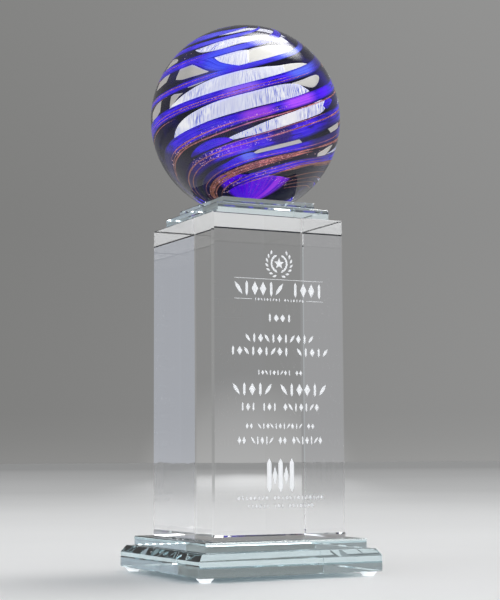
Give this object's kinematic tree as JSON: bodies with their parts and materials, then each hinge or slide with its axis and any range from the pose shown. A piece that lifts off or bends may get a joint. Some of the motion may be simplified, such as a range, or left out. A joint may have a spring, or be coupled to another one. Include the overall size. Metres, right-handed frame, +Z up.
{
  "type": "column trophy",
  "caption": "Free-standing award: a clear glass ball with a cobalt, silver and copper swirl on a square crystal column between stepped, bevelled glass plates on bumper feet.",
  "frame": {"origin": "on the table, under the middle of the base, level with the underside of the feet", "axes": "+Z up along the column, -Y towards the engraved front, +X to the right of the engraved front"},
  "size_m": [0.103, 0.103, 0.294],
  "materials": {
    "clear_glass": "polished art glass",
    "crystal": "polished optical crystal",
    "plate_glass": "polished plate glass with a faint aqua tint",
    "cobalt_glass": "cobalt and violet art glass, cased in clear glass",
    "violet_glass": "violet art glass, cased in clear glass",
    "silver_glass": "silvery white striated art glass, cased in clear glass",
    "copper_glass": "copper aventurine glass, cased in clear glass",
    "bond": "cured clear adhesive",
    "frost": "sand-blasted frosted glass",
    "bumper": "clear, slightly milky polyurethane",
    "foot_adhesive": "clear pressure-sensitive adhesive"
  },
  "bodies": {
    "root": {"sphere_casing": "clear_glass", "sphere_core": "cobalt_glass", "violet_gather": "violet_glass", "cobalt_ribbon_1": "cobalt_glass", "silver_veil_1": "silver_glass", "copper_thread_1": "copper_glass", "cobalt_ribbon_2": "cobalt_glass", "silver_veil_2": "silver_glass", "copper_thread_2": "copper_glass", "cobalt_ribbon_3": "cobalt_glass", "silver_veil_3": "silver_glass", "copper_thread_3": "copper_glass", "cobalt_ribbon_4": "cobalt_glass", "silver_veil_4": "silver_glass", "copper_thread_4": "copper_glass", "cobalt_ribbon_5": "cobalt_glass", "silver_veil_5": "silver_glass", "copper_thread_5": "copper_glass", "cobalt_ribbon_6": "cobalt_glass", "silver_veil_6": "silver_glass", "copper_thread_6": "copper_glass", "upper_cap_plate": "plate_glass", "lower_cap_plate": "plate_glass", "step_plate": "plate_glass", "base_plate": "plate_glass", "column": "crystal", "bond_ball": "bond", "bond_caps": "bond", "bond_column_top": "bond", "bond_column_foot": "bond", "bond_base": "bond", "bumper_foot_1": "bumper", "foot_adhesive_1": "foot_adhesive", "bumper_foot_2": "bumper", "foot_adhesive_2": "foot_adhesive", "bumper_foot_3": "bumper", "foot_adhesive_3": "foot_adhesive", "bumper_foot_4": "bumper", "foot_adhesive_4": "foot_adhesive", "engraved_emblem": "frost", "engraved_headline": "frost", "engraved_message": "frost", "engraved_device": "frost", "engraved_footer": "frost"}
  },
  "joints": []
}
